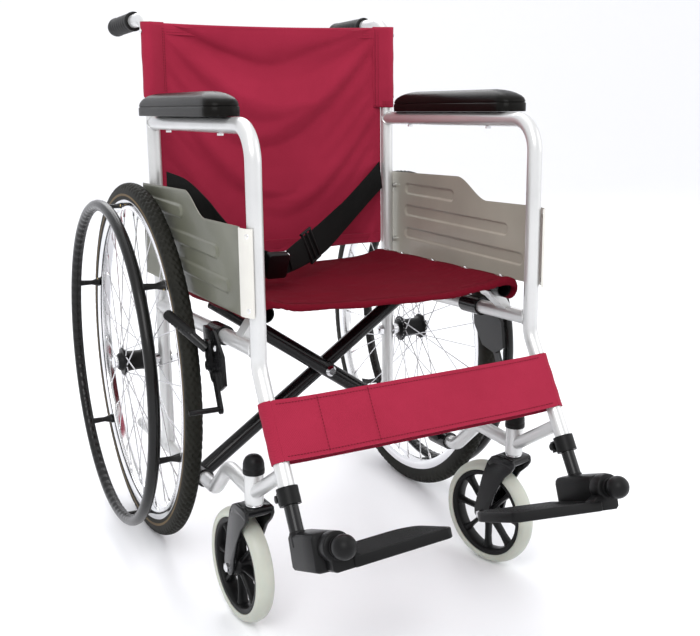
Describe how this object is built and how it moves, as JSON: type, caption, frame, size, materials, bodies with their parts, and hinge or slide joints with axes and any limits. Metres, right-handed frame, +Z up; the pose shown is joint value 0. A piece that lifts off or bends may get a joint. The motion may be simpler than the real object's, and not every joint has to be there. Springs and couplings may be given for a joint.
{
  "type": "manual wheelchair",
  "caption": "Folding manual wheelchair: silver tube frame, fabric seat and back, spoked rear wheels with handrims, swivel casters, brakes and flip-up footrests.",
  "frame": {"origin": "on the floor, midway between the two sides and midway between the footrests' front and the wheels' rear", "axes": "+X to the occupant's left across the chair, +Y to its rear, +Z up; the chair faces -Y"},
  "size_m": [0.643, 0.9971, 0.8765],
  "materials": {
    "frame_paint": "satin silver-grey",
    "black_tube": "gloss",
    "bright_steel": "polished",
    "panel_grey": "satin",
    "black_plastic": "satin",
    "pad_plastic": "gloss",
    "grip_rubber": "matte",
    "tyre_rubber": "matte",
    "handrim_plastic": "gloss",
    "caster_tread": "satin",
    "fabric": "woven",
    "webbing": "woven"
  },
  "bodies": {
    "right_frame": {"right_back_post": "frame_paint", "right_arm_tube": "frame_paint", "right_side_rail": "frame_paint", "right_lower_rail": "frame_paint", "right_caster_cap": "black_plastic", "right_push_grip": "grip_rubber", "right_arm_pad": "pad_plastic", "right_side_panel": "panel_grey", "right_frame_screws": "bright_steel", "right_brake_bracket": "black_tube", "right_footrest_clamp": "black_plastic", "right_axle": "bright_steel", "back_sling": "fabric", "calf_strap": "fabric", "seat_belt": "webbing"},
    "left_frame": {"left_back_post": "frame_paint", "left_arm_tube": "frame_paint", "left_side_rail": "frame_paint", "left_lower_rail": "frame_paint", "left_caster_cap": "black_plastic", "left_push_grip": "grip_rubber", "left_arm_pad": "pad_plastic", "left_side_panel": "panel_grey", "left_frame_screws": "bright_steel", "left_brake_bracket": "black_tube", "left_footrest_clamp": "black_plastic", "left_axle": "bright_steel"},
    "front_bar": {"cross_bar_b": "black_tube"},
    "rear_bar": {"cross_bar_a": "black_tube", "cross_pivot_bolt": "bright_steel"},
    "seat_right": {"seat_sling_right": "fabric"},
    "seat_left": {"seat_sling_left": "fabric"},
    "right_wheel": {"right_hub": "black_plastic", "right_spokes": "bright_steel", "right_rim": "bright_steel", "right_tyre": "tyre_rubber", "right_handrim": "handrim_plastic"},
    "right_swivel": {"right_fork": "black_tube", "right_caster_axle": "bright_steel"},
    "right_caster": {"right_caster_wheel": "black_plastic", "right_caster_tyre": "caster_tread"},
    "right_brake_lever": {"right_brake_lever": "black_tube"},
    "right_brake_shoe": {"right_brake_shoe": "black_tube"},
    "right_footrest": {"right_footrest_tube": "black_tube", "right_footrest_block": "black_plastic"},
    "right_footplate": {"right_footplate": "black_plastic"},
    "left_wheel": {"left_hub": "black_plastic", "left_spokes": "bright_steel", "left_rim": "bright_steel", "left_tyre": "tyre_rubber", "left_handrim": "handrim_plastic"},
    "left_swivel": {"left_fork": "black_tube", "left_caster_axle": "bright_steel"},
    "left_caster": {"left_caster_wheel": "black_plastic", "left_caster_tyre": "caster_tread"},
    "left_brake_lever": {"left_brake_lever": "black_tube"},
    "left_brake_shoe": {"left_brake_shoe": "black_tube"},
    "left_footrest": {"left_footrest_tube": "black_tube", "left_footrest_block": "black_plastic"},
    "left_footplate": {"left_footplate": "black_plastic"}
  },
  "joints": [
    {"name": "frame_fold", "type": "hinge", "parent": "right_frame", "child": "rear_bar", "pos_m": [-0.218, 0, 0.1519], "axis": [0, -0.9976, 0.0698], "range_deg": [0, 40], "deforming": ["back_sling", "calf_strap", "seat_belt", "seat_sling_right", "seat_sling_left"]},
    {"name": "cross_pivot", "type": "hinge", "parent": "rear_bar", "child": "front_bar", "pos_m": [0, 0, 0.30231], "axis": [0, -0.9976, 0.0698], "range_deg": [-80, 0]},
    {"name": "left_frame_fold", "type": "hinge", "parent": "front_bar", "child": "left_frame", "pos_m": [0.218, 0, 0.1519], "axis": [0, -0.9976, 0.0698], "range_deg": [0, 40]},
    {"name": "right_seat_hinge", "type": "hinge", "parent": "front_bar", "child": "seat_right", "pos_m": [-0.193, 0, 0.448], "axis": [0, -0.9976, 0.0698], "range_deg": [-33.8, 0]},
    {"name": "left_seat_hinge", "type": "hinge", "parent": "rear_bar", "child": "seat_left", "pos_m": [0.193, 0, 0.448], "axis": [0, -0.9976, 0.0698], "range_deg": [0, 33.8]},
    {"name": "right_wheel_spin", "type": "hinge", "parent": "right_frame", "child": "right_wheel", "pos_m": [-0.258, 0.2, 0.3], "axis": [1, 0, 0], "continuous": true},
    {"name": "right_caster_swivel", "type": "hinge", "parent": "right_frame", "child": "right_swivel", "pos_m": [-0.218, -0.224, 0.22], "axis": [0, 0, 1], "continuous": true},
    {"name": "right_caster_spin", "type": "hinge", "parent": "right_swivel", "child": "right_caster", "pos_m": [-0.22192, -0.17917, 0.085], "axis": [0.9962, 0.0872, 0], "continuous": true},
    {"name": "right_brake", "type": "hinge", "parent": "right_frame", "child": "right_brake_lever", "pos_m": [-0.2425, -0.118, 0.372], "axis": [1, 0, 0], "range_deg": [0, 60]},
    {"name": "right_brake_shoe_turn", "type": "hinge", "parent": "right_frame", "child": "right_brake_shoe", "pos_m": [-0.238, -0.128, 0.358], "axis": [1, 0, 0], "range_deg": [0, 56]},
    {"name": "right_footrest_slide", "type": "slide", "parent": "right_frame", "child": "right_footrest", "axis": [0, -0.5589, -0.8292], "range_m": [0, 0.06]},
    {"name": "right_footplate_flip", "type": "hinge", "parent": "right_footrest", "child": "right_footplate", "pos_m": [-0.204, -0.4672, 0.236], "axis": [0, -0.9272, 0.3746], "range_deg": [0, 86]},
    {"name": "left_wheel_spin", "type": "hinge", "parent": "left_frame", "child": "left_wheel", "pos_m": [0.258, 0.2, 0.3], "axis": [1, 0, 0], "continuous": true},
    {"name": "left_caster_swivel", "type": "hinge", "parent": "left_frame", "child": "left_swivel", "pos_m": [0.218, -0.224, 0.22], "axis": [0, 0, 1], "continuous": true},
    {"name": "left_caster_spin", "type": "hinge", "parent": "left_swivel", "child": "left_caster", "pos_m": [0.20635, -0.18053, 0.085], "axis": [0.9659, 0.2588, 0], "continuous": true},
    {"name": "left_brake", "type": "hinge", "parent": "left_frame", "child": "left_brake_lever", "pos_m": [0.2425, -0.118, 0.372], "axis": [1, 0, 0], "range_deg": [0, 60]},
    {"name": "left_brake_shoe_turn", "type": "hinge", "parent": "left_frame", "child": "left_brake_shoe", "pos_m": [0.238, -0.128, 0.358], "axis": [1, 0, 0], "range_deg": [0, 56]},
    {"name": "left_footrest_slide", "type": "slide", "parent": "left_frame", "child": "left_footrest", "axis": [0, -0.5589, -0.8292], "range_m": [0, 0.06]},
    {"name": "left_footplate_flip", "type": "hinge", "parent": "left_footrest", "child": "left_footplate", "pos_m": [0.204, -0.4672, 0.236], "axis": [0, -0.9272, 0.3746], "range_deg": [-86, 0]}
  ],
  "couplings": [
    {"joint": "cross_pivot", "follows": "frame_fold", "ratio": -2},
    {"joint": "left_frame_fold", "follows": "frame_fold", "ratio": 1},
    {"joint": "right_seat_hinge", "follows": "frame_fold", "ratio": -0.845},
    {"joint": "left_seat_hinge", "follows": "frame_fold", "ratio": 0.845},
    {"joint": "right_footplate_flip", "follows": "frame_fold", "ratio": 2.15},
    {"joint": "left_footplate_flip", "follows": "frame_fold", "ratio": -2.15},
    {"joint": "right_brake_shoe_turn", "follows": "right_brake", "ratio": 0.93},
    {"joint": "left_brake_shoe_turn", "follows": "left_brake", "ratio": 0.93}
  ]
}
